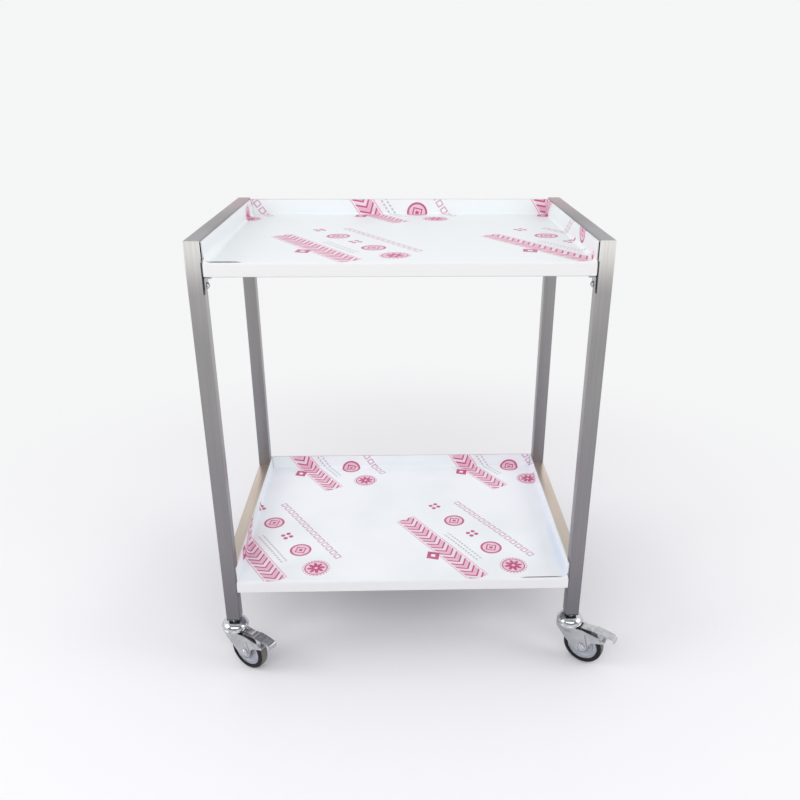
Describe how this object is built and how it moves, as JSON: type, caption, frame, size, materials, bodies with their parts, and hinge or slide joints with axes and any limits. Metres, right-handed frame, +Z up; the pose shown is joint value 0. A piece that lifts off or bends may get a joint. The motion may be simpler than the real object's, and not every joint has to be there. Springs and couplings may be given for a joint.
{
  "type": "dressing trolley",
  "caption": "Two-shelf dressing trolley of folded trays between square-tube side frames, on braked swivel casters.",
  "frame": {"origin": "on the floor under the middle of the trolley", "axes": "+Z up, +X along the width to the right, the open front of the shelves towards -Y"},
  "size_m": [0.7307, 0.543, 0.79],
  "materials": {
    "stainless": "brushed",
    "film": "semi-gloss",
    "chrome": "polished",
    "zinc": "bright zinc",
    "hub_grey": "satin",
    "rubber": "matte",
    "plug_black": "satin"
  },
  "bodies": {
    "frame": {"leg_fl": "stainless", "leg_fr": "stainless", "leg_rl": "stainless", "leg_rr": "stainless", "rail_top_l": "stainless", "rail_top_r": "stainless", "rail_low_l": "stainless", "rail_low_r": "stainless", "plug_fl": "plug_black", "plug_fr": "plug_black", "plug_rl": "plug_black", "plug_rr": "plug_black", "tray_top": "stainless", "tray_low": "stainless", "film_top": "film", "film_low": "film", "lug_fl": "stainless", "lug_fr": "stainless", "lug_rl": "stainless", "lug_rr": "stainless", "screw_fl": "chrome", "screw_fr": "chrome", "screw_rl": "chrome", "screw_rr": "chrome", "stem_fl": "chrome", "stem_fr": "chrome", "stem_rl": "chrome", "stem_rr": "chrome", "cup_fl": "chrome", "cup_fr": "chrome", "cup_rl": "chrome", "cup_rr": "chrome"},
    "swivel_fl": {"race_fl": "chrome", "fork_fl": "zinc", "axle_fl": "chrome"},
    "swivel_fr": {"race_fr": "chrome", "fork_fr": "zinc", "axle_fr": "chrome"},
    "swivel_rl": {"race_rl": "chrome", "fork_rl": "zinc", "axle_rl": "chrome"},
    "swivel_rr": {"race_rr": "chrome", "fork_rr": "zinc", "axle_rr": "chrome"},
    "wheel_fl": {"hub_fl": "hub_grey", "tyre_fl": "rubber"},
    "wheel_fr": {"hub_fr": "hub_grey", "tyre_fr": "rubber"},
    "wheel_rl": {"hub_rl": "hub_grey", "tyre_rl": "rubber"},
    "wheel_rr": {"hub_rr": "hub_grey", "tyre_rr": "rubber"},
    "brake_fl": {"pedal_fl": "chrome"},
    "brake_fr": {"pedal_fr": "chrome"},
    "brake_rl": {"pedal_rl": "chrome"},
    "brake_rr": {"pedal_rr": "chrome"}
  },
  "joints": [
    {"name": "turn_fl", "type": "hinge", "parent": "frame", "child": "swivel_fl", "pos_m": [-0.3125, -0.2125, 0.085], "axis": [0, 0, 1], "continuous": true},
    {"name": "turn_fr", "type": "hinge", "parent": "frame", "child": "swivel_fr", "pos_m": [0.3125, -0.2125, 0.085], "axis": [0, 0, 1], "continuous": true},
    {"name": "turn_rl", "type": "hinge", "parent": "frame", "child": "swivel_rl", "pos_m": [-0.3125, 0.2125, 0.085], "axis": [0, 0, 1], "continuous": true},
    {"name": "turn_rr", "type": "hinge", "parent": "frame", "child": "swivel_rr", "pos_m": [0.3125, 0.2125, 0.085], "axis": [0, 0, 1], "continuous": true},
    {"name": "roll_fl", "type": "hinge", "parent": "swivel_fl", "child": "wheel_fl", "pos_m": [-0.28671, -0.2297, 0.0375], "axis": [0.5548, 0.832, 0], "continuous": true},
    {"name": "roll_fr", "type": "hinge", "parent": "swivel_fr", "child": "wheel_fr", "pos_m": [0.33829, -0.2297, 0.0375], "axis": [0.5548, 0.832, 0], "continuous": true},
    {"name": "roll_rl", "type": "hinge", "parent": "swivel_rl", "child": "wheel_rl", "pos_m": [-0.28671, 0.2297, 0.0375], "axis": [-0.5548, 0.832, 0], "continuous": true},
    {"name": "roll_rr", "type": "hinge", "parent": "swivel_rr", "child": "wheel_rr", "pos_m": [0.28671, 0.2297, 0.0375], "axis": [-0.5548, -0.832, 0], "continuous": true},
    {"name": "press_fl", "type": "hinge", "parent": "swivel_fl", "child": "brake_fl", "pos_m": [-0.25842, -0.24856, 0.064], "axis": [0.5548, 0.832, 0], "range_deg": [0, 10]},
    {"name": "press_fr", "type": "hinge", "parent": "swivel_fr", "child": "brake_fr", "pos_m": [0.36658, -0.24856, 0.064], "axis": [0.5548, 0.832, 0], "range_deg": [0, 10]},
    {"name": "press_rl", "type": "hinge", "parent": "swivel_rl", "child": "brake_rl", "pos_m": [-0.25842, 0.24856, 0.064], "axis": [-0.5548, 0.832, 0], "range_deg": [0, 10]},
    {"name": "press_rr", "type": "hinge", "parent": "swivel_rr", "child": "brake_rr", "pos_m": [0.25842, 0.24856, 0.064], "axis": [-0.5548, -0.832, 0], "range_deg": [0, 10]}
  ]
}
